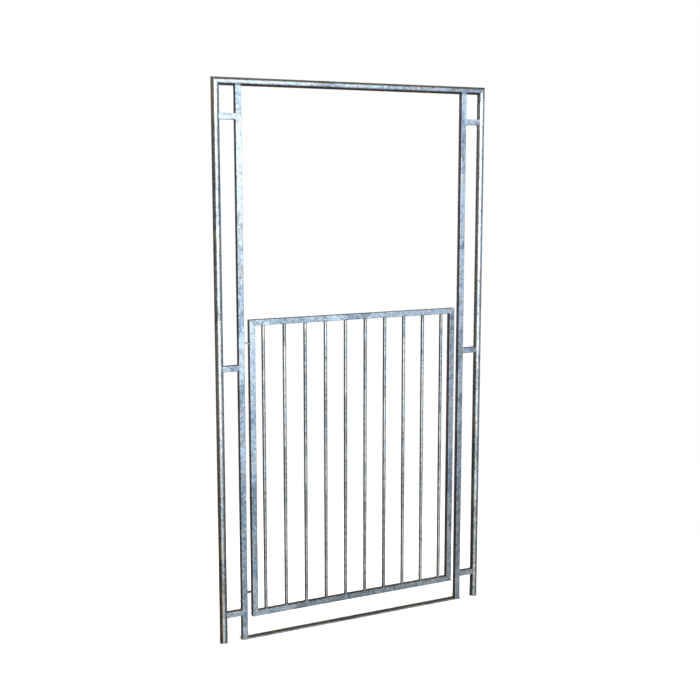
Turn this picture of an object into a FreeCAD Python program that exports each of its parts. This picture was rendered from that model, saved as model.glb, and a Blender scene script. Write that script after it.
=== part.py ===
# Walk-through gate in a tall tubular frame, for livestock panels.
#
# A round-tube arch stands round two square inner posts.  Short square spacers tie each
# inner post to its round outer post, and a flat threshold bar joins the inner posts at
# the ground.  A barred leaf of square tube hangs on two pins behind the left inner post
# and is held by a barrel bolt behind the right middle spacer.
#
# Millimetres.  X runs along the gate, Y to the rear (the side with the hinges and the
# bolt), Z up.  The origin is on the ground, midway between the posts, in the plane of
# the tube axes.
import FreeCAD, Part
import math
import os

import Sketcher

# alias, value, meaning
DRIVING_DIMENSIONS = [
    ("overall_height", 2400.0, "ground to the top of the round top rail"),
    ("outer_half_spacing", 641.5, "middle of the gate to an outer post's axis"),
    ("inner_half_spacing", 544.7, "middle of the gate to an inner post's axis"),
    ("tube_od", 33.7, "round tube, outside diameter"),
    ("tube_wall", 2.6, "round tube, wall"),
    ("square", 25.0, "square tube, outside width"),
    ("square_wall", 2.0, "square tube, wall"),
    ("square_radius", 2.0, "square tube, outside corner radius"),
    ("spacer_top_level", 2243.4, "height of the top spacers' axis"),
    ("spacer_middle_level", 1201.0, "height of the middle spacers' axis"),
    ("spacer_bottom_level", 123.0, "height of the bottom spacers' axis"),
    ("sill_depth", 30.0, "threshold bar, front to back"),
    ("sill_thickness", 6.0, "threshold bar, thickness"),
    ("sill_overhang", 1.0, "threshold bar, length past each inner post"),
    ("plug_length", 8.0, "foot plug, thickness"),
    ("plug_gap", 0.05, "foot plug, radial gap to the tube before welding"),
    ("ground_pin_hole", 13.0, "foot plug, hole diameter"),
    ("leaf_width", 1015.8, "leaf, outside width"),
    ("leaf_height", 1306.0, "leaf, outside height"),
    ("leaf_clearance", 96.9, "ground to the underside of the leaf"),
    ("bar_diameter", 15.0, "upright round bars in the leaf"),
    ("bar_pitch", 98.2, "spacing of the round bars"),
    ("hinge_behind", 30.0, "hinge axis, distance behind the tube axes"),
    ("hinge_upper_level", 1300.0, "upper hinge, height of the eye's middle"),
    ("hinge_lower_level", 200.0, "lower hinge, height of the eye's middle"),
    ("pin_diameter", 16.0, "hinge pin"),
    ("pin_above_washer", 11.0, "hinge pin, length above the upper washer"),
    ("pin_below_lug", 2.0, "hinge pin, length below the lug"),
    ("pin_chamfer", 1.5, "hinge pin, chamfer at the top"),
    ("eye_od", 26.0, "eye sleeve, outside diameter"),
    ("eye_length", 50.0, "eye sleeve, length"),
    ("running_gap", 0.1, "radial gap of every running fit"),
    ("weld_gap", 0.05, "radial gap of pins before they are welded or driven in"),
    ("washer_od", 28.0, "thrust washer, outside diameter"),
    ("washer_thickness", 2.0, "thrust washer, thickness"),
    ("washer_bore", 16.6, "thrust washer, hole diameter"),
    ("end_play", 0.2, "axial gap at each end of an eye sleeve"),
    ("lug_thickness", 8.0, "hinge lug, thickness"),
    ("plate_thickness", 5.0, "eye plate, thickness"),
    ("roll_pin_diameter", 5.0, "roll pin through the hinge pin"),
    ("roll_pin_wall", 1.0, "roll pin, wall"),
    ("roll_pin_length", 26.0, "roll pin, length"),
    ("roll_pin_slit", 1.2, "roll pin, width of the slit"),
    ("plate_nose", 8.0, "eye plate, depth at the stile"),
    ("heel_gap", 0.3, "gap between the eye plate's heel and the inner post"),
    ("heel_width", 5.0, "eye plate, far side of the heel from the hinge axis"),
    ("heel_reach", 10.0, "eye plate, depth of the heel into the gap"),
    ("bolt_diameter", 14.0, "latch bolt"),
    ("bolt_chamfer", 2.0, "latch bolt, chamfer at the tip"),
    ("bolt_level", 1195.0, "height of the latch bolt's axis"),
    ("barrel_od", 22.0, "latch barrel, outside diameter"),
    ("barrel_length", 80.0, "latch barrel and bolt, length"),
    ("barrel_end", 629.0, "middle of the gate to the barrel's far end"),
    ("bolt_travel", 57.0, "latch bolt, travel from open to locked"),
    ("handle_diameter", 8.0, "latch handle, shank diameter"),
    ("handle_inset", 10.0, "latch handle, distance from the bolt's rear end"),
    ("handle_reach", 36.0, "latch handle, bolt axis to the centre of the ball"),
    ("handle_ball", 14.0, "latch handle, ball diameter"),
    ("slot_gap", 0.3, "gap between the handle's shank and the slot in the barrel"),
    ("keeper_width", 10.0, "keeper strap, width along the bolt"),
    ("keeper_strap", 4.0, "keeper strap, thickness"),
    ("keeper_room", 1.5, "gap above and below the bolt in the keeper"),
    ("keeper_behind", 2.0, "gap behind the bolt in the keeper"),
    ("cut_margin", 1.0, "how far a cutting outline runs past the metal"),
]
BAR_COUNT = 10
QUARTER_TURN = math.pi / 2
TOUCH = 1e-3  # how near an edge has to be to a level to lie on it

# Lengths that follow from the driving dimensions, as expressions.
RAIL_LEVEL = "(dims.overall_height - dims.tube_od / 2)"
INNER_POST_LENGTH = f"({RAIL_LEVEL} - dims.sill_thickness)"
INNER_POST_OUTER_FACE = "(dims.inner_half_spacing + dims.square / 2)"
INNER_POST_INNER_FACE = "(dims.inner_half_spacing - dims.square / 2)"
SPACER_LENGTH = f"(dims.outer_half_spacing - {INNER_POST_OUTER_FACE})"
LEAF_TOP = "(dims.leaf_clearance + dims.leaf_height)"
REAR_FACE = "(dims.square / 2)"
LUG_TOP = "(-dims.eye_length / 2 - 2 * dims.end_play - dims.washer_thickness)"
LUG_BOTTOM = f"({LUG_TOP} - dims.lug_thickness)"
WASHER_UPPER_FOOT = "(dims.eye_length / 2 + dims.end_play)"
WASHER_LOWER_FOOT = "(-dims.eye_length / 2 - dims.end_play - dims.washer_thickness)"
WASHER_UPPER_TOP = f"({WASHER_UPPER_FOOT} + dims.washer_thickness)"
ROLL_PIN_LEVEL = f"({WASHER_UPPER_TOP} + dims.end_play + dims.roll_pin_diameter / 2)"
# The post and stile faces as seen from the hinge axis, which stands in line with the
# inner post's inner face.
REAR_FACE_FROM_HINGE = f"({REAR_FACE} - dims.hinge_behind)"
STILE_INNER_FROM_HINGE = f"({INNER_POST_INNER_FACE} - dims.leaf_width / 2 + dims.square)"
BARREL_BEHIND = f"({REAR_FACE} + dims.barrel_od / 2)"
BARREL_START = "(dims.barrel_end - dims.barrel_length)"
HANDLE_ALONG = "(dims.barrel_length - dims.handle_inset)"

doc = FreeCAD.newDocument("panel_gate")
dims = doc.addObject("Spreadsheet::Sheet", "dims")
for row, (alias, value, meaning) in enumerate(DRIVING_DIMENSIONS, start=1):
    dims.set(f"A{row}", alias)
    dims.set(f"B{row}", str(value))
    dims.set(f"C{row}", meaning)
    dims.setAlias(f"B{row}", alias)
doc.recompute()

sub_parts = []


def size(expression):
    """The number that an expression of the sheet's cells gives now."""
    return float(dims.evalExpression(str(expression)))


def place(obj, x=0, y=0, z=0, turned=False):
    """Binds a sub-part's place to the sheet.  Turned faces it the other way along X."""
    if turned:
        half_turn = FreeCAD.Rotation(FreeCAD.Vector(0, 0, 1), 180)
        obj.Placement = FreeCAD.Placement(FreeCAD.Vector(), half_turn)
    for axis, expression in (("x", x), ("y", y), ("z", z)):
        obj.setExpression(f"Placement.Base.{axis}", str(expression))


def keep(obj, label):
    """Names a finished sub-part and lists it for export."""
    obj.Label = label
    sub_parts.append(obj)
    return obj


def new_body(label):
    return keep(doc.addObject("PartDesign::Body", f"Body_{label}"), label)


def new_sketch(body, name, plane, height=0):
    """An empty sketch on one of the body's origin planes, raised along the plane's normal."""
    sketch = body.newObject("Sketcher::SketchObject", f"{name}_{body.Label}")
    support = [f for f in body.Origin.OriginFeatures if f.Role == plane]
    sketch.AttachmentSupport = [(support[0], "")]
    sketch.MapMode = "FlatFace"
    if height:
        sketch.setExpression("AttachmentOffset.Base.z", str(height))
    return sketch


def bind(sketch, constraint, expression, kind):
    """Adds a constraint, names it and binds it to the sheet."""
    name = f"{kind}{sketch.ConstraintCount}"
    index = sketch.addConstraint(constraint)
    sketch.renameConstraint(index, name)
    sketch.setExpression(f"Constraints.{name}", str(expression))


def fix_point(sketch, edge, end, x, y):
    """Holds one end of an edge at (x, y) in the sketch."""
    origin = (-1, 1)
    bind(sketch, Sketcher.Constraint("DistanceX", *origin, edge, end, size(x)), x, "across")
    bind(sketch, Sketcher.Constraint("DistanceY", *origin, edge, end, size(y)), y, "up")


def outline(sketch, corners):
    """A closed outline of straight edges through corners given as expressions."""
    points = [FreeCAD.Vector(size(x), size(y), 0) for x, y in corners]
    first = sketch.GeometryCount
    for here, there in zip(points, points[1:] + points[:1]):
        sketch.addGeometry(Part.LineSegment(here, there))
    for i, (x, y) in enumerate(corners):
        following = (i + 1) % len(corners)
        sketch.addConstraint(
            Sketcher.Constraint("Coincident", first + i, 2, first + following, 1)
        )
        fix_point(sketch, first + i, 1, x, y)


def circle(sketch, radius, x=0, y=0):
    """A circle whose radius and centre are expressions."""
    centre = FreeCAD.Vector(size(x), size(y), 0)
    normal = FreeCAD.Vector(0, 0, 1)
    edge = sketch.addGeometry(Part.Circle(centre, normal, size(radius)))
    bind(sketch, Sketcher.Constraint("Radius", edge, size(radius)), radius, "radius")
    fix_point(sketch, edge, 3, x, y)


def rounded_square(sketch, width, radius):
    """A square about the sketch's origin with rounded corners."""
    half, r = size(width) / 2, size(radius)
    flat = half - r
    first = sketch.GeometryCount
    sides = [
        ((-flat, -half), (flat, -half)),
        ((half, -flat), (half, flat)),
        ((flat, half), (-flat, half)),
        ((-half, flat), (-half, -flat)),
    ]
    for start, end in sides:
        sketch.addGeometry(
            Part.LineSegment(FreeCAD.Vector(*start, 0), FreeCAD.Vector(*end, 0))
        )
    normal = FreeCAD.Vector(0, 0, 1)
    for i, (x, y) in enumerate([(flat, -flat), (flat, flat), (-flat, flat), (-flat, -flat)]):
        rounding = Part.Circle(FreeCAD.Vector(x, y, 0), normal, r)
        begin = (i - 1) * QUARTER_TURN
        sketch.addGeometry(Part.ArcOfCircle(rounding, begin, begin + QUARTER_TURN))
    for i in range(4):
        side, corner = first + i, first + 4 + i
        following = first + (i + 1) % 4
        sketch.addConstraint(Sketcher.Constraint("Tangent", side, 2, corner, 1))
        sketch.addConstraint(Sketcher.Constraint("Tangent", corner, 2, following, 1))
        level = "Horizontal" if i % 2 == 0 else "Vertical"
        sketch.addConstraint(Sketcher.Constraint(level, side))
        if i:
            sketch.addConstraint(Sketcher.Constraint("Equal", first + 4, corner))
    bind(sketch, Sketcher.Constraint("Radius", first + 4, r), radius, "radius")
    low, right, top, left = first, first + 1, first + 2, first + 3
    half_width = f"({width}) / 2"
    across, up = "DistanceX", "DistanceY"
    bind(sketch, Sketcher.Constraint(across, -1, 1, right, 1, half), half_width, "right")
    bind(sketch, Sketcher.Constraint(across, left, 1, -1, 1, half), half_width, "left")
    bind(sketch, Sketcher.Constraint(up, -1, 1, top, 1, half), half_width, "top")
    bind(sketch, Sketcher.Constraint(up, low, 1, -1, 1, half), half_width, "low")


def pad(body, sketch, length, both_ways=False):
    feature = body.newObject("PartDesign::Pad", f"Pad_{sketch.Name}")
    feature.Profile = sketch
    feature.SideType = "Symmetric" if both_ways else "One side"
    feature.setExpression("Length", str(length))
    doc.recompute()
    return feature


def pocket(body, sketch, both_ways=True, backwards=False):
    """Cuts an outline through the whole body and makes sure that it cut something."""
    before = body.Shape.Volume
    feature = body.newObject("PartDesign::Pocket", f"Pocket_{sketch.Name}")
    feature.Profile = sketch
    feature.Type = "ThroughAll"
    feature.SideType = "Symmetric" if both_ways else "One side"
    feature.Reversed = backwards
    doc.recompute()
    if body.Shape.Volume >= before:
        raise RuntimeError(f"{feature.Name} cuts nothing")
    return feature


def mitre(body, half_width, corners):
    """Cuts 45-degree mitres.  Each corner is (x, z, sign_x, sign_z): its centre, and the
    side of it that is cut away."""
    sketch = new_sketch(body, "mitres", "XZ_Plane")
    reach = f"({half_width} + dims.cut_margin)"
    for x, z, sign_x, sign_z in corners:
        near_x = f"({x} + {sign_x} * {reach})"
        far_x = f"({x} - {sign_x} * {reach})"
        near_z = f"({z} + {sign_z} * {reach})"
        far_z = f"({z} - {sign_z} * {reach})"
        outline(sketch, [(near_x, near_z), (far_x, near_z), (near_x, far_z)])
    pocket(body, sketch)


def edges_where(feature, chosen):
    """The names of a feature's edges that pass a test."""
    return [f"Edge{i}" for i, edge in enumerate(feature.Shape.Edges, 1) if chosen(edge)]


def dress(body, base, kind, value_name, value, chosen):
    """A fillet or chamfer on the chosen edges of a feature."""
    feature = body.newObject(f"PartDesign::{kind}", f"{kind}_{value_name}_{body.Label}")
    feature.Base = (base, edges_where(base, chosen))
    feature.setExpression("Radius" if kind == "Fillet" else "Size", str(value))
    doc.recompute()
    return feature


def round_tube(body, plane, length, both_ways=False):
    """A length of the frame's round tube, along the plane's normal."""
    sketch = new_sketch(body, "section", plane)
    circle(sketch, "dims.tube_od / 2")
    circle(sketch, "dims.tube_od / 2 - dims.tube_wall")
    return pad(body, sketch, length, both_ways)


def square_tube(body, plane, length, both_ways=False):
    """A length of square tube, along the plane's normal."""
    sketch = new_sketch(body, "section", plane)
    rounded_square(sketch, "dims.square", "dims.square_radius")
    rounded_square(
        sketch, "dims.square - 2 * dims.square_wall", "dims.square_radius / 2"
    )
    return pad(body, sketch, length, both_ways)


def outer_post(side, sign):
    """Round tube from the ground to the top rail, mitred at the top."""
    body = new_body(f"outer_post_{side}")
    round_tube(body, "XY_Plane", "dims.overall_height")
    mitre(body, "dims.tube_od / 2", [("0", RAIL_LEVEL, -sign, 1)])
    place(body, x=f"{sign} * dims.outer_half_spacing")


def foot_plug(side, sign):
    """Thick disc welded into an outer post's foot, drilled for a ground pin."""
    body = new_body(f"foot_plug_{side}")
    sketch = new_sketch(body, "disc", "XY_Plane")
    circle(sketch, "dims.tube_od / 2 - dims.tube_wall - dims.plug_gap")
    circle(sketch, "dims.ground_pin_hole / 2")
    pad(body, sketch, "dims.plug_length")
    place(body, x=f"{sign} * dims.outer_half_spacing")


def top_rail():
    """Round tube between the outer posts, mitred at both ends."""
    body = new_body("top_rail")
    length = "2 * dims.outer_half_spacing + dims.tube_od"
    round_tube(body, "YZ_Plane", length, both_ways=True)
    corners = [
        ("dims.outer_half_spacing", "0", 1, -1),
        ("-dims.outer_half_spacing", "0", -1, -1),
    ]
    mitre(body, "dims.tube_od / 2", corners)
    place(body, z=RAIL_LEVEL)


def inner_post(side, sign):
    """Square tube from the threshold bar up to the top rail, coped to fit under it."""
    body = new_body(f"inner_post_{side}")
    square_tube(body, "XY_Plane", INNER_POST_LENGTH)
    sketch = new_sketch(body, "cope", "YZ_Plane")
    circle(sketch, "dims.tube_od / 2", y=INNER_POST_LENGTH)
    pocket(body, sketch)
    place(body, x=f"{sign} * dims.inner_half_spacing", z="dims.sill_thickness")


def spacer(level, side, sign):
    """Short square tube from an inner post outwards, coped to the outer post."""
    body = new_body(f"spacer_{level}_{side}")
    square_tube(body, "YZ_Plane", SPACER_LENGTH)
    sketch = new_sketch(body, "cope", "XY_Plane")
    circle(sketch, "dims.tube_od / 2", x=SPACER_LENGTH)
    pocket(body, sketch)
    place(
        body,
        x=f"{sign} * {INNER_POST_OUTER_FACE}",
        z=f"dims.spacer_{level}_level",
        turned=sign < 0,
    )


def threshold_bar():
    """Flat bar on the ground under both inner posts."""
    bar = keep(doc.addObject("Part::Box", "Threshold"), "threshold_bar")
    half_length = f"({INNER_POST_OUTER_FACE} + dims.sill_overhang)"
    bar.setExpression("Length", f"2 * {half_length}")
    bar.setExpression("Width", "dims.sill_depth")
    bar.setExpression("Height", "dims.sill_thickness")
    place(bar, x=f"-{half_length}", y="-dims.sill_depth / 2")


def leaf_stile(name, sign):
    """Upright side of the leaf, mitred at both ends."""
    body = new_body(name)
    square_tube(body, "XY_Plane", "dims.leaf_height")
    top = "(dims.leaf_height - dims.square / 2)"
    bottom = "(dims.square / 2)"
    mitre(body, "dims.square / 2", [("0", top, -sign, 1), ("0", bottom, -sign, -1)])
    place(
        body,
        x=f"{sign} * (dims.leaf_width - dims.square) / 2",
        z="dims.leaf_clearance",
    )


def leaf_rail(name, level, sign):
    """Top (sign 1) or bottom (sign -1) of the leaf, mitred at both ends."""
    body = new_body(name)
    square_tube(body, "YZ_Plane", "dims.leaf_width", both_ways=True)
    corner = "(dims.leaf_width - dims.square) / 2"
    corners = [(corner, "0", 1, -sign), (f"-{corner}", "0", -1, -sign)]
    mitre(body, "dims.square / 2", corners)
    place(body, z=level)


def leaf_bar(number):
    """Upright round bar between the leaf's rails, counted from the hinge side."""
    bar = keep(doc.addObject("Part::Cylinder", f"Bar{number}"), f"leaf_bar_{number:02d}")
    bar.setExpression("Radius", "dims.bar_diameter / 2")
    bar.setExpression("Height", "dims.leaf_height - 2 * dims.square")
    steps_from_middle = number - (BAR_COUNT + 1) / 2
    place(
        bar,
        x=f"{steps_from_middle} * dims.bar_pitch",
        z="dims.leaf_clearance + dims.square",
    )


def place_at_hinge(obj, hinge):
    """A hinge piece is modelled about the hinge axis, at the height of the eye's middle."""
    place(
        obj,
        x=f"-{INNER_POST_INNER_FACE}",
        y="dims.hinge_behind",
        z=f"dims.hinge_{hinge}_level",
    )


def hinge_lug(hinge):
    """Flat lug on the rear of the inner post: a wedge with a round nose about the pin."""
    body = new_body(f"hinge_lug_{hinge}")
    wedge = new_sketch(body, "wedge", "XY_Plane", LUG_BOTTOM)
    nose = "(dims.washer_od / 2)"
    corners = [
        ("-dims.square", REAR_FACE_FROM_HINGE),
        ("0", REAR_FACE_FROM_HINGE),
        (f"{nose} * cos(45)", f"-{nose} * sin(45)"),
        (f"-{nose} * cos(45)", f"{nose} * sin(45)"),
    ]
    outline(wedge, corners)
    pad(body, wedge, "dims.lug_thickness")
    disc = new_sketch(body, "nose", "XY_Plane", LUG_BOTTOM)
    circle(disc, nose)
    pad(body, disc, "dims.lug_thickness")
    hole = new_sketch(body, "hole", "XY_Plane", LUG_BOTTOM)
    circle(hole, "dims.pin_diameter / 2 + dims.weld_gap")
    pocket(body, hole)
    place_at_hinge(body, hinge)


def hinge_pin(hinge):
    """Pin welded upright in the lug, cross-drilled above the eye for the roll pin."""
    body = new_body(f"hinge_pin_{hinge}")
    foot = f"({LUG_BOTTOM} - dims.pin_below_lug)"
    sketch = new_sketch(body, "section", "XY_Plane", foot)
    circle(sketch, "dims.pin_diameter / 2")
    top = f"({WASHER_UPPER_TOP} + dims.pin_above_washer)"
    shank = pad(body, sketch, f"{top} - {foot}")
    dress(
        body,
        shank,
        "Chamfer",
        "top",
        "dims.pin_chamfer",
        lambda edge: edge.BoundBox.ZMin > size(top) - TOUCH,
    )
    drilling = new_sketch(body, "cross_hole", "XZ_Plane")
    circle(drilling, "dims.roll_pin_diameter / 2 + dims.weld_gap", y=ROLL_PIN_LEVEL)
    pocket(body, drilling)
    place_at_hinge(body, hinge)


def hinge_washers(hinge):
    """Thrust washers below and above the eye sleeve, two loose rings."""
    rings = []
    for where, foot in (("below", WASHER_LOWER_FOOT), ("above", WASHER_UPPER_FOOT)):
        disc = doc.addObject("Part::Cylinder", f"Disc_{where}_{hinge}")
        disc.setExpression("Radius", "dims.washer_od / 2")
        hole = doc.addObject("Part::Cylinder", f"Hole_{where}_{hinge}")
        hole.setExpression("Radius", "dims.washer_bore / 2")
        for cylinder in (disc, hole):
            cylinder.setExpression("Height", "dims.washer_thickness")
            place(cylinder, z=foot)
        ring = doc.addObject("Part::Cut", f"Washer_{where}_{hinge}")
        ring.Base = disc
        ring.Tool = hole
        rings.append(ring)
    pair = keep(doc.addObject("Part::MultiFuse", f"Washers_{hinge}"), f"hinge_washers_{hinge}")
    pair.Shapes = rings
    place_at_hinge(pair, hinge)


def hinge_roll_pin(hinge):
    """Slit spring pin through the top of the hinge pin, running front to back."""
    body = new_body(f"hinge_roll_pin_{hinge}")
    section = new_sketch(body, "section", "XZ_Plane")
    circle(section, "dims.roll_pin_diameter / 2")
    circle(section, "dims.roll_pin_diameter / 2 - dims.roll_pin_wall")
    pad(body, section, "dims.roll_pin_length", both_ways=True)
    slit = new_sketch(body, "slit", "XZ_Plane")
    left, right = "-dims.roll_pin_slit / 2", "dims.roll_pin_slit / 2"
    outline(
        slit,
        [
            (left, "0"),
            (right, "0"),
            (right, "dims.roll_pin_diameter"),
            (left, "dims.roll_pin_diameter"),
        ],
    )
    pocket(body, slit)
    place(
        body,
        x=f"-{INNER_POST_INNER_FACE}",
        y="dims.hinge_behind",
        z=f"dims.hinge_{hinge}_level + {ROLL_PIN_LEVEL}",
    )


def hinge_eye(hinge):
    """Sleeve that turns on the hinge pin."""
    body = new_body(f"hinge_eye_{hinge}")
    sketch = new_sketch(body, "section", "XY_Plane")
    circle(sketch, "dims.eye_od / 2")
    circle(sketch, "dims.pin_diameter / 2 + dims.running_gap")
    pad(body, sketch, "dims.eye_length", both_ways=True)
    place_at_hinge(body, hinge)


def hinge_plate(hinge):
    """Plate from the eye sleeve to the rear of the hinge stile.  Its heel reaches into
    the gap and meets the inner post when the leaf is in line with the frame."""
    body = new_body(f"hinge_plate_{hinge}")
    sketch = new_sketch(body, "profile", "XY_Plane")
    inside_sleeve = "(dims.eye_od / 4)"
    heel_end = f"({REAR_FACE_FROM_HINGE} - dims.heel_reach)"
    corners = [
        (STILE_INNER_FROM_HINGE, REAR_FACE_FROM_HINGE),
        (STILE_INNER_FROM_HINGE, f"{REAR_FACE_FROM_HINGE} + dims.plate_nose"),
        (inside_sleeve, inside_sleeve),
        ("dims.heel_gap", f"-{inside_sleeve}"),
        ("dims.heel_gap", heel_end),
        ("dims.heel_width", heel_end),
        ("dims.heel_width", REAR_FACE_FROM_HINGE),
    ]
    outline(sketch, corners)
    pad(body, sketch, "dims.plate_thickness", both_ways=True)
    cope = new_sketch(body, "cope", "XY_Plane")
    circle(cope, "dims.eye_od / 2")
    pocket(body, cope)
    place_at_hinge(body, hinge)


def latch_barrel():
    """Tube that guides the bolt, with a slot in its rear side for the handle."""
    body = new_body("latch_barrel")
    section = new_sketch(body, "section", "YZ_Plane")
    circle(section, "dims.barrel_od / 2")
    circle(section, "dims.bolt_diameter / 2 + dims.running_gap")
    pad(body, section, "dims.barrel_length")
    half_slot = "(dims.handle_diameter / 2 + dims.slot_gap)"
    near = f"({HANDLE_ALONG} - dims.bolt_travel)"
    straight = new_sketch(body, "slot", "XZ_Plane")
    outline(
        straight,
        [
            (near, f"-{half_slot}"),
            (HANDLE_ALONG, f"-{half_slot}"),
            (HANDLE_ALONG, half_slot),
            (near, half_slot),
        ],
    )
    pocket(body, straight, both_ways=False)
    for name, along in (("open_end", HANDLE_ALONG), ("locked_end", near)):
        end = new_sketch(body, name, "XZ_Plane")
        circle(end, half_slot, x=along)
        pocket(body, end, both_ways=False)
    place(body, x=BARREL_START, y=BARREL_BEHIND, z="dims.bolt_level")


def latch_bolt():
    """Round bolt as long as its barrel, drilled from the rear for the handle."""
    body = new_body("latch_bolt")
    section = new_sketch(body, "section", "YZ_Plane")
    circle(section, "dims.bolt_diameter / 2")
    bar = pad(body, section, "dims.barrel_length")
    dress(
        body,
        bar,
        "Chamfer",
        "tip",
        "dims.bolt_chamfer",
        lambda edge: edge.BoundBox.XMax < TOUCH,
    )
    drilling = new_sketch(body, "handle_hole", "XZ_Plane")
    circle(drilling, "dims.handle_diameter / 2 + dims.weld_gap", x=HANDLE_ALONG)
    pocket(body, drilling, both_ways=False)
    place(body, x=BARREL_START, y=BARREL_BEHIND, z="dims.bolt_level")


def latch_handle():
    """Turned handle with a ball end, seated in the bolt and standing out to the rear."""
    body = new_body("latch_handle")
    shank = new_sketch(body, "shank", "XZ_Plane")
    circle(shank, "dims.handle_diameter / 2")
    stem = pad(body, shank, "dims.handle_reach")
    stem.Reversed = True
    doc.recompute()
    half = new_sketch(body, "ball", "XY_Plane")
    centre = FreeCAD.Vector(0, size("dims.handle_reach"), 0)
    radius = size("dims.handle_ball / 2")
    rim = Part.Circle(centre, FreeCAD.Vector(0, 0, 1), radius)
    arc = half.addGeometry(Part.ArcOfCircle(rim, -QUARTER_TURN, QUARTER_TURN))
    low = centre - FreeCAD.Vector(0, radius, 0)
    high = centre + FreeCAD.Vector(0, radius, 0)
    chord = half.addGeometry(Part.LineSegment(high, low))
    half.addConstraint(Sketcher.Constraint("Coincident", arc, 2, chord, 1))
    half.addConstraint(Sketcher.Constraint("Coincident", chord, 2, arc, 1))
    half.addConstraint(Sketcher.Constraint("Vertical", chord))
    bind(half, Sketcher.Constraint("Radius", arc, radius), "dims.handle_ball / 2", "radius")
    fix_point(half, arc, 3, "0", "dims.handle_reach")
    ball = body.newObject("PartDesign::Revolution", "Revolution_ball")
    ball.Profile = half
    ball.ReferenceAxis = (half, ["V_Axis"])
    ball.Angle = 360.0
    doc.recompute()
    place(
        body,
        x=f"{BARREL_START} + {HANDLE_ALONG}",
        y=BARREL_BEHIND,
        z="dims.bolt_level",
    )


def latch_keeper():
    """Strap bent round the bolt's path and welded behind the latch stile."""
    body = new_body("latch_keeper")
    sketch = new_sketch(body, "strap", "YZ_Plane")
    stile_face = "(-dims.barrel_od / 2)"
    inner_up = "(dims.bolt_diameter / 2 + dims.keeper_room)"
    inner_back = "(dims.bolt_diameter / 2 + dims.keeper_behind)"
    outer_up = f"({inner_up} + dims.keeper_strap)"
    outer_back = f"({inner_back} + dims.keeper_strap)"
    corners = [
        (stile_face, f"-{outer_up}"),
        (outer_back, f"-{outer_up}"),
        (outer_back, outer_up),
        (stile_face, outer_up),
        (stile_face, inner_up),
        (inner_back, inner_up),
        (inner_back, f"-{inner_up}"),
        (stile_face, f"-{inner_up}"),
    ]
    outline(sketch, corners)
    strap = pad(body, sketch, "dims.keeper_width")

    def outside_bend(edge):
        box = edge.BoundBox
        return box.YMin > size(outer_back) - TOUCH and box.XLength > TOUCH

    dress(body, strap, "Fillet", "bends", "dims.keeper_strap", outside_bend)
    place(
        body,
        x="dims.leaf_width / 2 - dims.keeper_width",
        y=BARREL_BEHIND,
        z="dims.bolt_level",
    )


for side, sign in (("left", -1), ("right", 1)):
    outer_post(side, sign)
    foot_plug(side, sign)
    inner_post(side, sign)
    for level in ("top", "middle", "bottom"):
        spacer(level, side, sign)
top_rail()
threshold_bar()
leaf_stile("leaf_hinge_stile", -1)
leaf_stile("leaf_latch_stile", 1)
leaf_rail("leaf_top_rail", f"{LEAF_TOP} - dims.square / 2", 1)
leaf_rail("leaf_bottom_rail", "dims.leaf_clearance + dims.square / 2", -1)
for number in range(1, BAR_COUNT + 1):
    leaf_bar(number)
for hinge in ("upper", "lower"):
    hinge_lug(hinge)
    hinge_pin(hinge)
    hinge_washers(hinge)
    hinge_roll_pin(hinge)
    hinge_eye(hinge)
    hinge_plate(hinge)
latch_barrel()
latch_bolt()
latch_handle()
latch_keeper()
doc.recompute()

faults = [o.Name for o in doc.Objects if "Invalid" in o.State or "Error" in o.State]
if faults:
    raise RuntimeError(f"these objects failed: {faults}")
for part in sub_parts:
    if part.Shape.isNull() or not part.Shape.isValid():
        raise RuntimeError(f"{part.Label} has no valid shape")

os.makedirs("parts", exist_ok=True)
for part in sub_parts:
    part.Shape.exportStep(f"parts/{part.Label}.step")
print(f"{len(sub_parts)} sub-parts written")
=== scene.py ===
"""Looks of the walk-through panel gate.

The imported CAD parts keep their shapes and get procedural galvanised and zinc-plated
finishes.  Weld beads are added where the tubes, bars and fittings meet.  The studio is a
pale floor under a soft light.  Its one tall window follows the camera round, so that the
gate's wide faces mirror it from every side.

Metres.  X runs along the gate, Y to the rear, Z up, with the origin on the ground.
"""

import math

import bmesh
import bpy
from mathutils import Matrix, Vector, noise


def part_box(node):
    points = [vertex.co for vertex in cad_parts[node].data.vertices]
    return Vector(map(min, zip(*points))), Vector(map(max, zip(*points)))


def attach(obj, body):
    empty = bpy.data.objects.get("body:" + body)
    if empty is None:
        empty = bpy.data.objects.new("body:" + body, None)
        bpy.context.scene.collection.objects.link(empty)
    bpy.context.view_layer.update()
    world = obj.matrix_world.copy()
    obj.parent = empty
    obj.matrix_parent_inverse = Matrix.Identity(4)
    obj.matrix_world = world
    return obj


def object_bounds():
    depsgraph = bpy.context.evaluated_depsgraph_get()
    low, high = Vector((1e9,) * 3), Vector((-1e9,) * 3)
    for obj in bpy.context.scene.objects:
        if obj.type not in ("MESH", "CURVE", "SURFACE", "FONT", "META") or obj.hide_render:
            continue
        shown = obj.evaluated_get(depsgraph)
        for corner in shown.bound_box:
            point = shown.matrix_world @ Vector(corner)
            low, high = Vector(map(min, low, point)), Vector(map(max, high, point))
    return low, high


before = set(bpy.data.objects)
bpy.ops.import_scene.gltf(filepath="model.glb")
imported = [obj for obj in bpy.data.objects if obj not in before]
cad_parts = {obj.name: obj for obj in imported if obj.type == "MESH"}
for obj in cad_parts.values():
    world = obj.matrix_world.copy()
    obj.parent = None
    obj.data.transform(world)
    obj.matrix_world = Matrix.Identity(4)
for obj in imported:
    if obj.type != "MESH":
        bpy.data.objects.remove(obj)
cad_low, cad_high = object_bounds()

MM = 0.001

# Camera: where it stands, and where it looks.
CAMERA_PLACE = (-2.340, -4.517, 1.994)
CAMERA_YAW = math.radians(-27.12)
CAMERA_PITCH = math.radians(-8.43)
CAMERA_LENS = 59.66
CAMERA_SENSOR = 36.0

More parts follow.
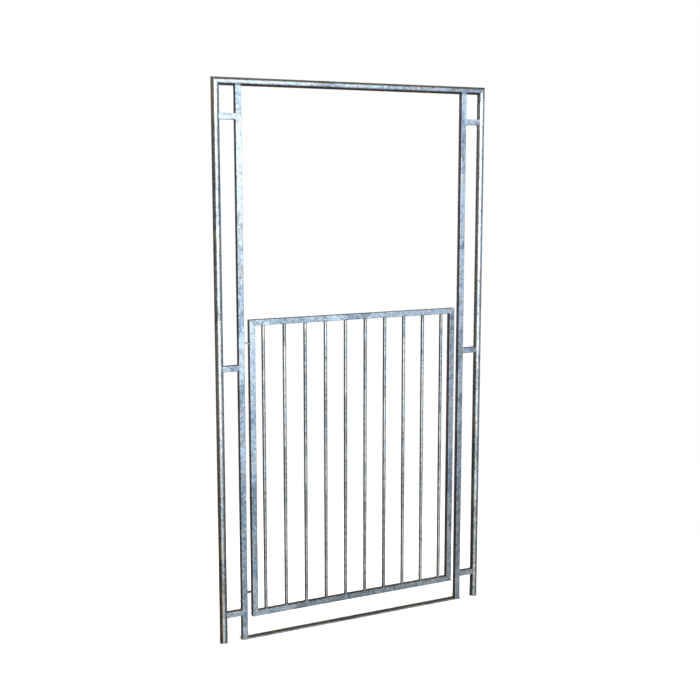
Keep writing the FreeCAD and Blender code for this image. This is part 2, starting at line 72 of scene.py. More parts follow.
# Weld beads.
FILLET = 2.6 * MM  # radius of the bead between square tubes
SMALL_FILLET = 1.9 * MM  # radius of the bead round bars and fittings
PIN_FILLET = 1.6 * MM  # radius of the bead round a hinge pin's foot
PLATE_ARC = range(-78, 13, 6)  # degrees round an eye sleeve where its plate is welded
BARREL_INSET = 3 * MM  # from the spacer's end to the barrel's first bead
BARREL_OUTSET = 6 * MM  # from the last bead to the barrel's end
BARREL_STITCH = 0.36  # length of a bead, as a share of the length they are spread over
BARREL_GAP = 0.7 * MM  # how far the beads' line stands behind the spacer
BARREL_EDGE = 0.5 * MM  # how far it lies inside the spacer's edges
SEAM_PROUD = 0.45 * MM  # how far a seam on flush faces stands out of them
RIPPLE_PITCH = 3.2 * MM
ROUGH = 0.07  # how uneven a bead is, as a share of its radius
DRESSED = 0.03  # the same for a seam that has been ground over
SWAY_SCALE = 220.0  # how quickly the slow unevenness changes, per metre
BEAD_STEP = 0.8 * MM  # spacing of the rings that make up a bead
BEAD_SIDES = 10  # points in a ring
MITRE_STEPS = 72  # points in the seam round a mitred tube


# ---------------------------------------------------------------------------
# Node graphs
# ---------------------------------------------------------------------------


class Graph:
    """A node tree being filled, with a short call for each kind of node used here."""

    def __init__(self, tree):
        self.tree = tree
        tree.nodes.clear()

    def feed(self, socket, value):
        if isinstance(value, bpy.types.NodeSocket):
            self.tree.links.new(value, socket)
        else:
            socket.default_value = value

    def add(self, kind, inputs=(), **settings):
        node = self.tree.nodes.new(f"ShaderNode{kind}")
        for key, value in settings.items():
            setattr(node, key, value)
        for name, value in dict(inputs).items():
            self.feed(node.inputs[name], value)
        return node

    def maths(self, operation, first, second=0.0):
        inputs = {0: first, 1: second}
        return self.add("Math", inputs, operation=operation).outputs[0]

    def plus(self, first, second):
        return self.maths("ADD", first, second)

    def times(self, first, second):
        return self.maths("MULTIPLY", first, second)

    def grey(self, value):
        return self.add("CombineColor", {0: value, 1: value, 2: value}).outputs[0]

    def ramp(self, position, stops):
        """A colour for each position from 0 to 1, from (position, colour) stops."""
        node = self.add("ValToRGB", {"Fac": position})
        node.color_ramp.interpolation = "EASE"
        elements = node.color_ramp.elements
        while len(elements) < len(stops):
            elements.new(1.0)
        for element, (place, colour) in zip(elements, stops):
            element.position = place
            element.color = (*colour, 1.0)
        return node.outputs["Color"]

    def weighted(self, *pairs):
        """Sum of value * weight over the pairs."""
        total = 0.0
        for value, weight in pairs:
            total = self.plus(self.times(value, weight), total)
        return total

    def step(self, value, low, high, at_low=0.0, at_high=1.0):
        """Smooth step from at_low to at_high as value goes from low to high."""
        inputs = {
            "Value": value,
            "From Min": low,
            "From Max": high,
            "To Min": at_low,
            "To Max": at_high,
        }
        node = self.add("MapRange", inputs, interpolation_type="SMOOTHSTEP")
        return node.outputs["Result"]

    def blend(self, share, first, second, mode="MIX"):
        """Mixes two colours."""
        node = self.add("Mix", data_type="RGBA", blend_type=mode)
        for socket, value in ((0, share), (6, first), (7, second)):
            if isinstance(value, tuple) and len(value) == 3:
                value = (*value, 1.0)
            self.feed(node.inputs[socket], value)
        return node.outputs[2]

    def scaled(self, vector, factors, offset=0.0):
        inputs = {0: vector, 1: factors, 2: (offset, offset, offset)}
        return self.add("VectorMath", inputs, operation="MULTIPLY_ADD").outputs[0]

    def shifted(self, vector, offset):
        return self.scaled(vector, (1.0, 1.0, 1.0), offset)

    def cloud(self, vector, scale, detail=3.0, roughness=0.55):
        """Smooth noise from 0 to 1."""
        inputs = {"Vector": vector, "Scale": scale, "Detail": detail, "Roughness": roughness}
        return self.add("TexNoise", inputs).outputs["Fac"]

    def cells(self, vector, scale):
        """A random colour and value for each cell, and the distance to its centre."""
        node = self.add("TexVoronoi", {"Vector": vector, "Scale": scale})
        chance = self.add("SeparateColor", {"Color": node.outputs["Color"]}).outputs[0]
        return node.outputs["Color"], chance, node.outputs["Distance"]

    def feathers(self, vector, direction, pitch):
        """Fine stripes from 0 to 1, across a direction given as a colour."""
        across = self.scaled(direction, (2.0, 2.0, 2.0), -1.0)
        along = self.add("VectorMath", {0: vector, 1: across}, operation="DOT_PRODUCT")
        phase = self.times(along.outputs["Value"], 2 * math.pi / pitch)
        return self.plus(self.times(self.maths("SINE", phase), 0.5), 0.5)


def new_material(name):
    material = bpy.data.materials.new(name)
    material.use_nodes = True
    return material, Graph(material.node_tree)


def metal(graph, colour, roughness, height, relief):
    """Finishes a graph as bare metal.  Relief is the height in metres of a height of 1."""
    bump = graph.add("Bump", {"Height": height, "Distance": relief, "Strength": 1.0})
    shader = graph.add(
        "BsdfPrincipled",
        {
            "Base Color": colour,
            "Metallic": 1.0,
            "Roughness": roughness,
            "Normal": bump.outputs["Normal"],
        },
    )
    graph.add("OutputMaterial", {"Surface": shader.outputs["BSDF"]})


# ---------------------------------------------------------------------------
# Finishes
# ---------------------------------------------------------------------------

# Painted shade: the zinc is drawn darkest below one level and free of it above the other.
SHADE_FULL_BELOW = -0.3
SHADE_GONE_ABOVE = 2.3
# What is left of its colour where the painted shade is deepest, on the tubes and on the leaf's
# bars.
PAINTED_GROUND_SHADE = (0.525, 0.46, 0.395)
BAR_PAINTED_GROUND_SHADE = (0.45, 0.40, 0.345)

ZINC_DARK = (0.23, 0.28, 0.34)
ZINC_BRIGHT = (0.84, 0.92, 0.97)
ZINC_BLOOM = (0.76, 0.83, 0.88)
DROSS = (0.10, 0.10, 0.11)

# Casts that the zinc's colour is multiplied by, from place to place.
WARM_CAST = (1.045, 0.99, 0.945)
BLUE_CAST = (0.935, 1.00, 1.065)

# How closely each of the zinc's patterns is set, per metre.
SPANGLES = 105.0
GRAINS = 230.0
STROKES = 190.0
BLOTCHES = 62.0
PATCHES = 13.0
BLOOMS = 14.0
SPECKS = 80.0
CASTS = 30.0
LUMPS = 55.0
DIMPLES = 160.0
PORES = 700.0

WANDERS = 110.0
WANDER_REACH = 16 * MM  # how far a crystal's border wanders
FEATHER_PITCH = 2.4 * MM
STROKE_SLANT = 0.7  # radians
ZINC_RELIEF = 0.9 * MM
SHARE_OF_BLOOM = 0.4
SHARE_OF_DROSS = 0.6


def galvanised(name, stretch, seed, lumps=1.0, painted_ground_shade=PAINTED_GROUND_SHADE):
    """Hot-dip zinc: spangle, slanted strokes, blotches, bloom, casts and dross specks, under
    painted shade that darkens and warms it towards the ground.

    Stretch squeezes the pattern's coordinates along the tube, so that it draws out there.
    """
    material, graph = new_material(name)
    place = graph.add("TexCoord").outputs["Object"]
    level = graph.add("SeparateXYZ", {"Vector": place}).outputs["Z"]
    place = graph.shifted(place, seed)
    drawn = graph.scaled(place, stretch)

    # Feathered cells whose borders wander, as frozen zinc crystals do.
    wander = graph.add("TexNoise", {"Vector": place, "Scale": WANDERS, "Detail": 4.0})
    crystal = graph.add(
        "VectorMath",
        {0: wander.outputs["Color"], 1: (WANDER_REACH,) * 3, 2: place},
        operation="MULTIPLY_ADD",
    ).outputs[0]
    direction, spangle, _ = graph.cells(crystal, SPANGLES)
    feather = graph.feathers(crystal, direction, FEATHER_PITCH)
    _, grain, _ = graph.cells(crystal, GRAINS)

    # Strokes on the slant, where the bath drained off.
    inputs = {"Vector": drawn, "Angle": STROKE_SLANT}
    slanted = graph.add("VectorRotate", inputs, rotation_type="Y_AXIS").outputs[0]
    stroke = graph.cloud(graph.scaled(slanted, (1.0, 1.0, 0.35)), STROKES, 3.0, 0.6)
    stroke = graph.step(stroke, 0.34, 0.66)
    blotch = graph.step(graph.cloud(drawn, BLOTCHES, 5.0, 0.68), 0.36, 0.64)

    # Lengths that drained and cooled apart, each with a tone of its own.
    lengths = graph.shifted(graph.scaled(crystal, stretch), 0.35)
    _, patch, _ = graph.cells(lengths, PATCHES)

    tone = graph.weighted(
        (blotch, 0.12),
        (patch, 0.25),
        (stroke, 0.14),
        (spangle, 0.17),
        (grain, 0.15),
        (feather, 0.06),
    )
    colour = graph.blend(graph.step(tone, 0.16, 0.74), ZINC_DARK, ZINC_BRIGHT)

    bloom = graph.step(graph.cloud(drawn, BLOOMS, 5.0, 0.7), 0.60, 0.70)
    colour = graph.blend(graph.times(bloom, SHARE_OF_BLOOM), colour, ZINC_BLOOM)

    # One cell in four has a speck at its centre.
    _, chance, reach = graph.cells(crystal, SPECKS)
    chosen = graph.step(chance, 0.74, 0.76)
    speck = graph.times(chosen, graph.step(reach, 0.08, 0.20, 1.0, 0.0))
    colour = graph.blend(graph.times(speck, SHARE_OF_DROSS), colour, DROSS)

    # Painted shade: the zinc is drawn bright at the top and darker and warmer towards the ground.
    unshaded = graph.step(level, SHADE_FULL_BELOW, SHADE_GONE_ABOVE)
    ground_shading = graph.blend(unshaded, painted_ground_shade, (1.0, 1.0, 1.0))
    colour = graph.blend(1.0, colour, ground_shading, "MULTIPLY")
    cast = graph.step(graph.cloud(drawn, CASTS, 3.0), 0.36, 0.64)
    colour = graph.blend(1.0, colour, graph.blend(cast, WARM_CAST, BLUE_CAST), "MULTIPLY")

    roughness = graph.weighted(
        (spangle, 0.06), (blotch, -0.04), (bloom, 0.08), (feather, 0.03), (1.0, 0.20)
    )
    height = graph.weighted(
        (graph.cloud(drawn, LUMPS, 2.0), 0.26 * lumps),
        (graph.cloud(place, DIMPLES, 2.0), 0.12 * lumps),
        (feather, 0.008),
        (speck, 0.05),
        (graph.cloud(place, PORES, 2.0), 0.015),
    )
    metal(graph, colour, roughness, height, ZINC_RELIEF)
    return material


PLATED_BLUE = (0.62, 0.66, 0.72)
PLATED_YELLOW = (0.76, 0.72, 0.60)
SCUFFED = (0.34, 0.34, 0.35)
TOOL_MARKS = 2600.0  # per metre
PLATED_RELIEF = 0.06 * MM


def zinc_plated(name, turned, seed):
    """Bright plating over turned steel: fine rings, a faint yellow cast and dull scuffs.

    Turned squeezes the coordinates across the rings' axis, so that they run round it.
    """
    material, graph = new_material(name)
    place = graph.shifted(graph.add("TexCoord").outputs["Object"], seed)
    rings = graph.cloud(graph.scaled(place, turned), TOOL_MARKS, 2.0)
    cast = graph.step(graph.cloud(place, 60.0), 0.35, 0.65)
    colour = graph.blend(cast, PLATED_BLUE, PLATED_YELLOW)
    scuff = graph.step(graph.cloud(place, 130.0, 5.0, 0.7), 0.56, 0.68)
    colour = graph.blend(graph.times(scuff, 0.55), colour, SCUFFED)
    roughness = graph.weighted((rings, 0.12), (scuff, 0.16), (1.0, 0.16))
    height = graph.weighted((rings, 0.5), (scuff, -0.5), (graph.cloud(place, 200.0), 1.0))
    metal(graph, colour, roughness, height, PLATED_RELIEF)
    return material


def floor_finish(fade_from, fade_to):
    """Pale matt floor that fades into the white backdrop away from the gate."""
    material, graph = new_material("studio_floor")
    place = graph.add("TexCoord").outputs["Object"]
    distance = graph.add("VectorMath", {0: place}, operation="LENGTH").outputs["Value"]
    trowel = graph.step(graph.cloud(place, 3.0, 4.0), 0.2, 0.8, 0.965, 0.985)
    matt = graph.add("BsdfDiffuse", {"Color": graph.grey(trowel)}).outputs["BSDF"]
    white = graph.add("Emission", {"Color": (1, 1, 1, 1), "Strength": 1.0}).outputs[0]
    far = graph.step(distance, fade_from, fade_to)
    mixed = graph.add("MixShader", {0: far, 1: matt, 2: white}).outputs[0]
    graph.add("OutputMaterial", {"Surface": mixed})
    return material


# Factors on a pattern's coordinates, and the last ones for turned parts.
STRETCH_UPRIGHT = (1.0, 1.0, 0.45)
STRETCH_LEVEL = (0.45, 1.0, 1.0)
STRETCH_NONE = (1.0, 1.0, 1.0)
RINGS_UPRIGHT = (0.05, 0.05, 1.0)
RINGS_ALONG = (1.0, 0.05, 0.05)
RINGS_ACROSS = (0.05, 1.0, 0.05)

# A finish's number is its seed: how far its pattern is moved, in metres.
finishes = {
    "upright": galvanised("galvanised_upright", STRETCH_UPRIGHT, 4.37),
    "level": galvanised("galvanised_level", STRETCH_LEVEL, 13.11),
    # The bars get a deeper painted shade towards the ground.
    "bar": galvanised("galvanised_bar", STRETCH_UPRIGHT, 29.0, lumps=0.5, painted_ground_shade=BAR_PAINTED_GROUND_SHADE),
    "fitting": galvanised("galvanised_fitting", STRETCH_NONE, 17.0),
    "weld": galvanised("galvanised_weld", STRETCH_NONE, 23.0, lumps=2.0),
    "turned_upright": zinc_plated("zinc_turned_upright", RINGS_UPRIGHT, 5.0),
    "turned_along": zinc_plated("zinc_turned_along", RINGS_ALONG, 7.0),
    "turned_across": zinc_plated("zinc_turned_across", RINGS_ACROSS, 9.0),
}


def finish_of(node):
    """The finish for a CAD node, from its name."""
    if node == "latch_bolt":
        return finishes["turned_along"]
    if node == "latch_handle" or "roll_pin" in node:
        return finishes["turned_across"]
    if node.startswith(("hinge_pin", "hinge_washers")):
        return finishes["turned_upright"]
    if node.startswith(("hinge_", "latch_", "foot_")):
        return finishes["fitting"]
    if "_bar_" in node:
        return finishes["bar"]
    if "post" in node or "stile" in node:
        return finishes["upright"]
    return finishes["level"]


def dress_cad_parts():
    for name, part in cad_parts.items():
        for slot in part.material_slots:
            slot.material = finish_of(name)


# ---------------------------------------------------------------------------
# Weld beads
# ---------------------------------------------------------------------------


class Seam:
    """The centre line of one bead: points, its radius (leg), whether it closes on itself,
    and how uneven it is, as a share of the radius."""

    def __init__(self, points, leg, closed=True, uneven=ROUGH):
        self.points = points
        self.leg = leg
        self.closed = closed
        self.uneven = uneven

    def resampled(self):
        """Evenly spaced points, BEAD_STEP apart or a little less."""
        points = self.points + self.points[:1] if self.closed else self.points
        lengths = [(b - a).length for a, b in zip(points, points[1:])]
        total = sum(lengths)
        count = max(6, math.ceil(total / BEAD_STEP))
        spacing = total / count
        found, walked, i = [], 0.0, 0
        for n in range(count if self.closed else count + 1):
            target = n * spacing
            while i < len(lengths) - 1 and walked + lengths[i] < target:
                walked += lengths[i]
                i += 1
            share = (target - walked) / lengths[i] if lengths[i] else 0.0
            found.append(points[i].lerp(points[i + 1], min(1.0, share)))
        return found, spacing


def rounded_loop(half_across, half_up, corner=2.0 * MM, arc_steps=5):
    """Corners and straights of a rounded rectangle, as (across, up) pairs."""
    flat_across, flat_up = half_across - corner, half_up - corner
    pairs = []
    for sign_across, sign_up, start in ((1, 1, 0), (-1, 1, 90), (-1, -1, 180), (1, -1, 270)):
        for k in range(arc_steps + 1):
            angle = math.radians(start + 90 * k / arc_steps)
            across = sign_across * flat_across + corner * math.cos(angle)
            up = sign_up * flat_up + corner * math.sin(angle)
            pairs.append((across, up))
    return pairs


def dense(pairs, per_side=14):
    """Extra points between the pairs, so that a loop can follow a curved surface."""
    found = []
    for (a, b), (c, d) in zip(pairs, pairs[1:] + pairs[:1]):
        steps = per_side if math.hypot(c - a, d - b) > 2 * MM else 1
        found += [(a + (c - a) * k / steps, b + (d - b) * k / steps) for k in range(steps)]
    return found


def circle(centre, radius, steps=48):
    """A level circle round an upright bar or pin."""
    turn = 2 * math.pi / steps
    return [
        centre + Vector((radius * math.cos(k * turn), radius * math.sin(k * turn), 0))
        for k in range(steps)
    ]


def add_bead(mesh, seam):
    """Sweeps a rippled round section along a seam."""
    points, spacing = seam.resampled()
    count = len(points)
    rings = []
    side = None
    for i, point in enumerate(points):
        if seam.closed:
            ahead, back = points[(i + 1) % count], points[i - 1]
        else:
            ahead, back = points[min(i + 1, count - 1)], points[max(i - 1, 0)]
        tangent = (ahead - back).normalized()
        if side is None:
            side = tangent.orthogonal().normalized()
        side = (side - tangent * side.dot(tangent)).normalized()
        other = tangent.cross(side)
        ripple = math.cos(2 * math.pi * i * spacing / RIPPLE_PITCH)
        sway = noise.noise(point * SWAY_SCALE)
        leg = seam.leg * (1 + seam.uneven * (ripple + sway))
        if not seam.closed:
            # The ends of an open bead are rounded off.
            ends = min(i, count - 1 - i) * spacing / seam.leg
            leg *= math.sqrt(max(0.02, 1 - (1 - min(1.0, ends)) ** 2))
        ring = []
        for k in range(BEAD_SIDES):
            angle = 2 * math.pi * k / BEAD_SIDES
            offset = side * math.cos(angle) + other * math.sin(angle)
            ring.append(mesh.verts.new(point + offset * leg))
        rings.append(ring)
    if seam.closed:
        join_ends(mesh, rings[-1], rings[0])
    else:
        mesh.faces.new(rings[0][::-1])
        mesh.faces.new(rings[-1])
    for ring, following in zip(rings, rings[1:]):
        skin(mesh, ring, following, 0)


def skin(mesh, ring, following, shift):
    """Faces between two rings, the second one turned by shift points."""
    for k in range(BEAD_SIDES):
        after = (k + 1) % BEAD_SIDES
        near, far = following[(k + shift) % BEAD_SIDES], following[(after + shift) % BEAD_SIDES]
        mesh.faces.new((ring[k], ring[after], far, near))


def join_ends(mesh, last, first):
    """Closes a loop of rings where the section has turned on its way round."""
    gaps = [
        sum((last[k].co - first[(k + s) % BEAD_SIDES].co).length for k in range(BEAD_SIDES))
        for s in range(BEAD_SIDES)
    ]
    skin(mesh, last, first, gaps.index(min(gaps)))


def weld(name, body, seams):
    """One piece made of several beads, riding on a body."""
    mesh = bmesh.new()
    for seam in seams:
        add_bead(mesh, seam)
    bmesh.ops.recalc_face_normals(mesh, faces=mesh.faces)
    for face in mesh.faces:
        face.smooth = True
    data = bpy.data.meshes.new(name)
    mesh.to_mesh(data)
    mesh.free()
    data.materials.append(finishes["weld"])
    piece = bpy.data.objects.new(name, data)
    bpy.context.scene.collection.objects.link(piece)
    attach(piece, body)


def middle(node):
    low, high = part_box(node)
    return (low + high) / 2


def half_size(node):
    low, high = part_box(node)
    return (high - low) / 2


SIDES = (("left", -1), ("right", 1))
rail_middle = middle("top_rail")
rail_radius = half_size("top_rail").z
square = half_size("inner_post_left").x
post_axis = {side: middle(f"outer_post_{side}").x for side, _ in SIDES}


def sunk(leg, proud=SEAM_PROUD):
    """How far a bead's centre line lies under a surface it stands proud of."""
    return leg - proud


def weld_frame_mitres():
    """Dressed seams where the outer posts meet the top rail."""
    seams = []
    for side, sign in SIDES:
        radius = rail_radius - sunk(SMALL_FILLET)
        corner = Vector((post_axis[side], rail_middle.y, rail_middle.z))
        points = [
            corner + Vector((p.x, p.y, sign * p.x)) for p in circle(Vector(), radius, MITRE_STEPS)
        ]
        seams.append(Seam(points, SMALL_FILLET, uneven=DRESSED))
    weld("weld_frame_mitres", "frame", seams)


def weld_inner_posts():
    """Fillets round the inner posts' heads, under the rail, and round their feet."""
    heads, feet = [], []
    for side, _ in SIDES:
        post = middle(f"inner_post_{side}")
        foot_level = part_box(f"inner_post_{side}")[0].z
        head, foot = [], []
        for across, back in dense(rounded_loop(square, square)):
            under = rail_middle.z - math.sqrt(rail_radius**2 - back**2)
            head.append(Vector((post.x + across, post.y + back, under)))
            foot.append(Vector((post.x + across, post.y + back, foot_level)))
        heads.append(Seam(head, FILLET))
        feet.append(Seam(foot, SMALL_FILLET))
    weld("weld_inner_post_heads", "frame", heads)
    weld("weld_inner_post_feet", "frame", feet)


def weld_spacers():
    """Fillets above and below each spacer and dressed seams on its flush faces."""
    seams = []
    flush = square - sunk(FILLET)
    for side, sign in SIDES:
        for level in ("top", "middle", "bottom"):
            node = f"spacer_{level}_{side}"
            height = middle(node).z
            low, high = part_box(node)
            inner_end = low.x if sign > 0 else high.x
            at_inner, at_outer = [], []
            for back, up in dense(rounded_loop(flush, square)):
                at_inner.append(Vector((inner_end, back, height + up)))
            for back, up in dense(rounded_loop(square, square)):
                reach = math.sqrt(rail_radius**2 - back**2)
                x = post_axis[side] - sign * reach
                at_outer.append(Vector((x, back, height + up)))
            seams.append(Seam(at_inner, FILLET, uneven=DRESSED))
            seams.append(Seam(at_outer, SMALL_FILLET))
    weld("weld_spacers", "frame", seams)


def weld_leaf_corners():
    """Dressed mitre seams at the leaf's four corners."""
    seams = []
    buried = square - sunk(SMALL_FILLET)
    for stile, sign_x in (("leaf_hinge_stile", -1), ("leaf_latch_stile", 1)):
        for rail, sign_z in (("leaf_top_rail", 1), ("leaf_bottom_rail", -1)):
            corner = Vector((middle(stile).x, 0, middle(rail).z))
            points = [
                corner + Vector((across, back, sign_x * sign_z * across))
                for across, back in rounded_loop(buried, buried)
            ]
            seams.append(Seam(points, SMALL_FILLET, uneven=DRESSED))
    weld("weld_leaf_corners", "leaf", seams)


def weld_leaf_bars():
    """A small fillet round both ends of every upright bar."""
    seams = []
    for node in sorted(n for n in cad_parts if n.startswith("leaf_bar_")):
        low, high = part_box(node)
        radius = (high.x - low.x) / 2
        centre = middle(node)
        for level in (low.z, high.z):
            seams.append(Seam(circle(Vector((centre.x, centre.y, level)), radius), SMALL_FILLET))
    weld("weld_leaf_bars", "leaf", seams)


def straight(start, end, leg):
    return Seam([Vector(start), Vector(end)], leg, closed=False)


def weld_hinge_lugs():
    """Fillets over and under each lug's root, and round the pin's foot."""
    seams = []
    post_low, post_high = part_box("inner_post_left")
    for hinge in ("upper", "lower"):
        lug_low, lug_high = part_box(f"hinge_lug_{hinge}")
        for level in (lug_low.z, lug_high.z):
            start = (post_low.x + SMALL_FILLET, post_high.y, level)
            end = (post_high.x - SMALL_FILLET, post_high.y, level)
            seams.append(straight(start, end, SMALL_FILLET))
        pin = middle(f"hinge_pin_{hinge}")
        pin_radius = half_size(f"hinge_pin_{hinge}").x
        ring = circle(Vector((pin.x, pin.y, lug_low.z)), pin_radius)
        seams.append(Seam(ring, PIN_FILLET))
    weld("weld_hinge_lugs", "frame", seams)


def weld_hinge_plates():
    """Fillets from each eye plate to the hinge stile and to its sleeve."""
    seams = []
    stile_low, stile_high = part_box("leaf_hinge_stile")
    for hinge in ("upper", "lower"):
        plate_low, plate_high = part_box(f"hinge_plate_{hinge}")
        eye = middle(f"hinge_eye_{hinge}")
        eye_radius = half_size(f"hinge_eye_{hinge}").x
        for level in (plate_low.z, plate_high.z):
            start = (stile_low.x + SMALL_FILLET, stile_high.y, level)
            end = (stile_high.x - SMALL_FILLET, stile_high.y, level)
            seams.append(straight(start, end, SMALL_FILLET))
            arc = [
                Vector((eye.x, eye.y, level)) + eye_radius * compass(degrees)
                for degrees in PLATE_ARC
            ]
            seams.append(Seam(arc, SMALL_FILLET, closed=False))
    weld("weld_hinge_plates", "leaf", seams)


def compass(degrees):
    """A level unit vector, counted from +X towards +Y."""
    angle = math.radians(degrees)
    return Vector((math.cos(angle), math.sin(angle), 0))


def weld_latch_barrel():
    """Two short beads above and two below, where the barrel lies on the spacer."""
    barrel_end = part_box("latch_barrel")[1].x
    spacer_low, spacer_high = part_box("spacer_middle_right")
    axis = middle("latch_barrel")
    drop = axis.z - spacer_low.z - BARREL_EDGE
    first = spacer_low.x + BARREL_INSET
    last = barrel_end - BARREL_OUTSET
    stitch = BARREL_STITCH * (last - first)
    behind = spacer_high.y + BARREL_GAP
    seams = []
    for level in (axis.z - drop, axis.z + drop):
        for start in (first, last - stitch):
            end = start + stitch
            seams.append(straight((start, behind, level), (end, behind, level), FILLET))
    weld("weld_latch_barrel", "frame", seams)


def weld_latch_keeper():
    """A bead along the outer side of each of the keeper's feet."""
    keeper_low, keeper_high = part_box("latch_keeper")
    inset = 0.8 * MM
    seams = []
    for level in (keeper_low.z, keeper_high.z):
        start = (keeper_low.x + inset, keeper_low.y, level)
        end = (keeper_high.x - inset, keeper_low.y, level)
        seams.append(straight(start, end, SMALL_FILLET))
    weld("weld_latch_keeper", "leaf", seams)


# ---------------------------------------------------------------------------
# Studio
# ---------------------------------------------------------------------------


def studio_camera():
    data = bpy.data.cameras.new("studio_camera")
    data.sensor_width = CAMERA_SENSOR
    data.lens = CAMERA_LENS
    camera = bpy.data.objects.new("studio_camera", data)
    camera.location = CAMERA_PLACE
    camera.rotation_euler = (math.radians(90) + CAMERA_PITCH, 0, CAMERA_YAW)
    bpy.context.scene.collection.objects.link(camera)
    bpy.context.scene.camera = camera
    return camera


def studio_turntable(camera):
    """An empty that keeps the camera's heading, for the world to turn with."""
    turntable = bpy.data.objects.new("studio_turntable", None)
    bpy.context.scene.collection.objects.link(turntable)
    follow = turntable.constraints.new("COPY_ROTATION")
    follow.target = camera
    follow.use_x = False
    follow.use_y = False
    return turntable


# What a mirror standing in the studio shows: degrees from the camera, growing to its
# right, and the colour of the room there.
PANORAMA = (
    (-180, (0.17, 0.155, 0.14)),
    (-128, (0.13, 0.102, 0.11)),
    (-75, (0.18, 0.15, 0.12)),
    (-24, (0.24, 0.20, 0.14)),
    (-10, (1.35, 1.22, 0.98)),
    (2, (1.59, 1.65, 1.66)),
    (36, (1.47, 1.72, 1.97)),
    (48, (0.78, 1.07, 1.39)),
    (60, (0.58, 0.68, 0.81)),
    (80, (0.36, 0.37, 0.40)),
    (125, (0.36, 0.34, 0.34)),
    (180, (0.17, 0.155, 0.14)),
)
# Where the gate's wide faces mirror the room, on the same scale.
FACE_TURN = math.radians(54.2)
# The camera's lean off a wide face's normal: from the first angle to the second, where
# the wide faces are all but edge on, the room's squeezing is let go.
LET_GO = (math.radians(60), math.radians(84))
# Keeps a camera square to the gate's end clear of the heading where the room flips over.
FLIP_CLEAR = math.radians(1)

WINDOW_GLOW = (1.05, 0.92, 0.70)
WINDOW_HEAD = (1.28, 1.14, 0.98)  # what its colour is multiplied by near the top
DARK_GROUND = (0.09, 0.048, 0.027)
WARM_CEILING = (0.18, 0.148, 0.105)
ZENITH = (0.34, 0.34, 0.33)

# Where the room's soft edges begin and end, in radians: across the window's glow, and
# then up from the ground to the zenith.
GLOW_LEFT = (-0.25, 0.10)
GLOW_RIGHT = (0.78, 1.02)
GROUND_EDGE = (-0.88, -0.48)
GLOW_FOOT = (-0.28, 0.0)
HEAD_EDGE = (0.15, 0.55)
CEILING_EDGE = (0.68, 0.98)
ZENITH_EDGE = (1.1, 1.5)


def studio_world(turntable):
    """White to the camera.  In reflections, one tall soft window in a dim warm room."""
    world = bpy.data.worlds.new("studio")
    bpy.context.scene.world = world
    world.use_nodes = True
    graph = Graph(world.node_tree)
    turn, rise = room_angles(graph, turntable)

    room = graph.ramp(
        graph.plus(graph.times(turn, 0.5 / math.pi), 0.5),
        [((degrees + 180) / 360, colour) for degrees, colour in PANORAMA],
    )
    # The window is brightest from eye level up, and warmer at its head.
    glow = graph.times(graph.step(turn, *GLOW_LEFT), graph.step(turn, *GLOW_RIGHT, 1.0, 0.0))
    glow = graph.times(glow, graph.step(rise, *GLOW_FOOT))
    room = graph.blend(glow, room, WINDOW_GLOW, "ADD")

    below = graph.step(rise, *GROUND_EDGE, 1.0, 0.0)
    colour = graph.blend(below, room, DARK_GROUND)
    head = graph.step(rise, *HEAD_EDGE)
    colour = graph.blend(head, colour, WINDOW_HEAD, "MULTIPLY")
    above = graph.step(rise, *CEILING_EDGE)
    colour = graph.blend(above, colour, WARM_CEILING)
    overhead = graph.step(rise, *ZENITH_EDGE)
    colour = graph.blend(overhead, colour, ZENITH)

    seen = graph.add("LightPath").outputs["Is Camera Ray"]
    colour = graph.blend(seen, colour, (1.0, 1.0, 1.0))
    background = graph.add("Background", {"Color": colour, "Strength": 1.0})
    graph.add("OutputWorld", {"Surface": background.outputs["Background"]})


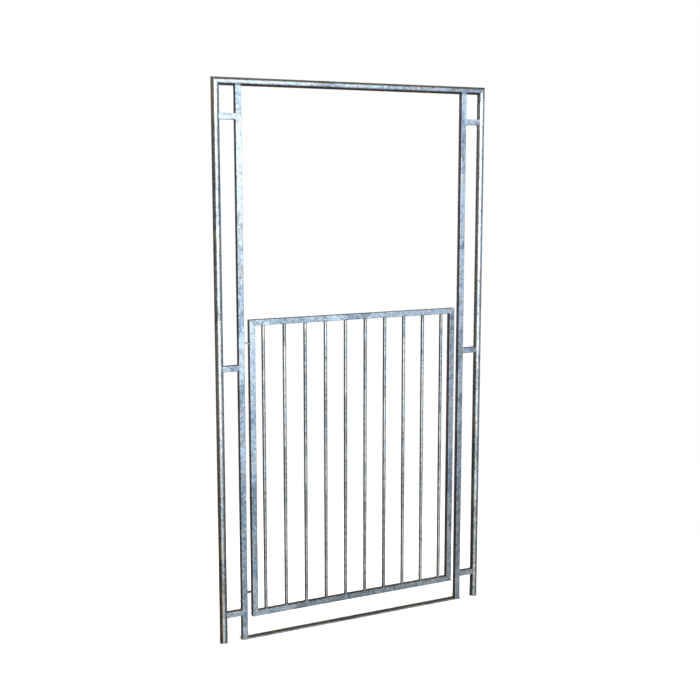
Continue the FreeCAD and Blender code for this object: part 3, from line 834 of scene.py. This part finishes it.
def room_angles(graph, turntable):
    """Turn and rise of a direction in the room, in radians.

    Turn is 0 towards the camera.  Where the camera stands to the right of a wide face's
    normal the room is mirrored, and the side of the room that the wide faces mirror is
    slid or squeezed so that they show FACE_TURN, until they are nearly edge on.
    """
    fixed = graph.add("TexCoord").outputs["Generated"]
    turned = graph.add("TexCoord", object=turntable).outputs["Object"]
    axes = graph.add("SeparateXYZ", {"Vector": turned})
    rise = graph.maths("ARCSINE", axes.outputs["Z"])
    turn = azimuth(graph, turned)

    heading = graph.maths("SUBTRACT", azimuth(graph, fixed), turn)
    limits = {1: FLIP_CLEAR + math.pi / 2, 2: FLIP_CLEAR - math.pi / 2}
    lean = graph.add("Math", {0: heading, **limits}, operation="WRAP").outputs[0]
    hand = graph.step(lean, 0.0, 1e-4, 1.0, -1.0)
    turn = graph.times(turn, hand)
    away = graph.maths("ABSOLUTE", lean)
    mirrored = graph.times(away, 2.0)

    slide = graph.maths("MAXIMUM", graph.maths("SUBTRACT", FACE_TURN, mirrored), 0.0)
    squeeze = graph.maths("DIVIDE", FACE_TURN, graph.maths("MAXIMUM", mirrored, FACE_TURN))
    released = graph.step(away, *LET_GO)
    kept = graph.maths("SUBTRACT", 1.0, released)
    squeeze = graph.plus(graph.times(squeeze, kept), released)
    ahead = graph.times(graph.maths("MAXIMUM", turn, 0.0), squeeze)
    turn = graph.plus(graph.plus(graph.maths("MINIMUM", turn, 0.0), ahead), slide)
    return turn, rise


def azimuth(graph, direction):
    """Angle of a direction round the Z axis, from -Y towards +X."""
    axes = graph.add("SeparateXYZ", {"Vector": direction})
    return graph.maths("ARCTAN2", axes.outputs["X"], graph.times(axes.outputs["Y"], -1.0))


FLOOR_HALF = 30.0
FLOOR_DROP = 0.2 * MM  # keeps the floor clear of the gate's feet
# The floor shows from the middle out to the first distance and is gone by the second.
FLOOR_FADE = (0.9, 2.4)


def studio_floor():
    signs = ((-1, -1), (1, -1), (1, 1), (-1, 1))
    level = cad_low.z - FLOOR_DROP
    mesh = bmesh.new()
    mesh.faces.new([mesh.verts.new((x * FLOOR_HALF, y * FLOOR_HALF, level)) for x, y in signs])
    data = bpy.data.meshes.new("studio_floor")
    mesh.to_mesh(data)
    mesh.free()
    data.materials.append(floor_finish(*FLOOR_FADE))
    floor = bpy.data.objects.new("studio_floor", data)
    bpy.context.scene.collection.objects.link(floor)
    floor.visible_glossy = False
    floor.visible_diffuse = False


LAMP_WIDTH = 7.0
LAMP_HEIGHT = 6.0
LAMP_WATTS = 540.0


def studio_light():
    """One broad lamp overhead, for the floor and its soft contact shadows."""
    data = bpy.data.lights.new("overhead", "AREA")
    data.shape = "DISK"
    data.size = LAMP_WIDTH
    data.energy = LAMP_WATTS
    lamp = bpy.data.objects.new("overhead", data)
    lamp.location = (0, 0, LAMP_HEIGHT)
    lamp.visible_glossy = False
    bpy.context.scene.collection.objects.link(lamp)


dress_cad_parts()
weld_frame_mitres()
weld_inner_posts()
weld_spacers()
weld_leaf_corners()
weld_leaf_bars()
weld_hinge_lugs()
weld_hinge_plates()
weld_latch_barrel()
weld_latch_keeper()

studio_world(studio_turntable(studio_camera()))
studio_floor()
studio_light()
bpy.context.scene.view_settings.view_transform = "Standard"
